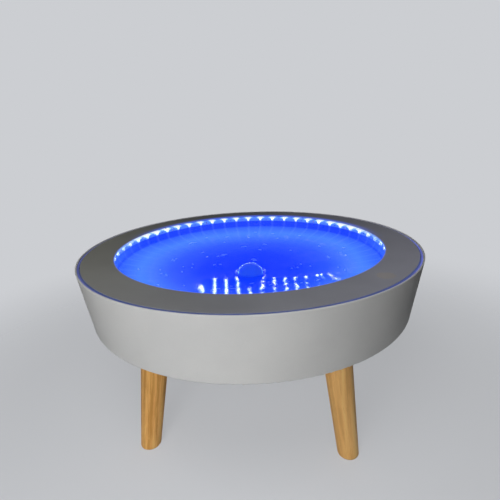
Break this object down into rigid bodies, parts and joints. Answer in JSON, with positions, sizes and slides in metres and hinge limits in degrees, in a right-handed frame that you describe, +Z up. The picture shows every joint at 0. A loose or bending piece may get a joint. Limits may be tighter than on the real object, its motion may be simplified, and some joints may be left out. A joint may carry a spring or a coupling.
{
  "type": "light-up led table",
  "caption": "Round light-up table: a white drum on splayed wooden legs, with a glass top over a basin lit by a ring of lamps and emptied by a push-open plug.",
  "frame": {"origin": "centre of the bounding box's bottom, on the floor under the middle of the drum", "axes": "+Z up; -Y towards the front; the legs stand on the diagonals; the switch and socket are under the drum at the front, on the -X side"},
  "size_m": [0.6498, 0.6498, 0.343],
  "materials": {
    "shell": "satin white moulding",
    "border": "satin grey",
    "glass": "clear, polished edge",
    "gasket": "translucent silicone, lit blue by the strip",
    "carrier": "white moulding",
    "basin": "glossy, lit blue",
    "plywood": "plain plywood",
    "post_wood": "turned softwood",
    "leg_wood": "satin lacquered beech",
    "strip": "white flexible circuit",
    "led": "lit",
    "resistor": "ceramic body",
    "chrome": "polished",
    "steel": "zinc plated",
    "plate_paint": "black powder coat",
    "black_rubber": "matt",
    "fitting": "white moulding",
    "black_plastic": "fine texture",
    "rocker": "glossy black",
    "tab_metal": "plain",
    "controller": "white moulding",
    "circuit": "green solder mask",
    "lead": "white sleeve"
  },
  "bodies": {
    "root": {"shell": "shell", "base_board": "plywood", "support_posts": "post_wood", "post_screws": "steel", "carrier_ring": "carrier", "carrier_screws": "steel", "basin": "basin", "basin_screws": "steel", "glass_gasket": "gasket", "led_strip": "strip", "led_chips": "led", "strip_resistors": "resistor", "strip_grommet": "black_rubber", "waste_body": "chrome", "waste_washer": "black_rubber", "waste_nut": "fitting", "hose_seal": "black_rubber", "hose_tail": "fitting", "leg_plates": "plate_paint", "leg_plate_screws": "steel", "hanger_bolts": "steel", "leg_front_left": "leg_wood", "leg_front_right": "leg_wood", "leg_rear_left": "leg_wood", "leg_rear_right": "leg_wood", "switch_housing": "black_plastic", "switch_tabs": "tab_metal", "supply_socket": "black_plastic", "socket_nut": "tab_metal", "controller_case": "controller", "controller_board": "circuit", "controller_lid": "controller", "controller_screws": "steel", "strip_lead": "lead", "switch_lead": "lead", "socket_lead": "lead", "lead_clip": "fitting"},
    "lid": {"glass_top": "glass", "border_ring": "border"},
    "plug": {"plug_cap": "chrome", "plug_seal": "black_rubber", "plug_spindle": "steel"},
    "rocker": {"switch_rocker": "rocker"}
  },
  "joints": [
    {"name": "lid_lift", "type": "slide", "parent": "root", "child": "lid", "axis": [0, 0, 1], "range_m": [0, 0.12]},
    {"name": "plug_push", "type": "slide", "parent": "root", "child": "plug", "axis": [0, 0, 1], "range_m": [0, 0.008]},
    {"name": "switch_rock", "type": "hinge", "parent": "root", "child": "rocker", "pos_m": [-0.075, -0.205, 0.235], "axis": [0, 1, 0], "range_deg": [0, 22]}
  ]
}
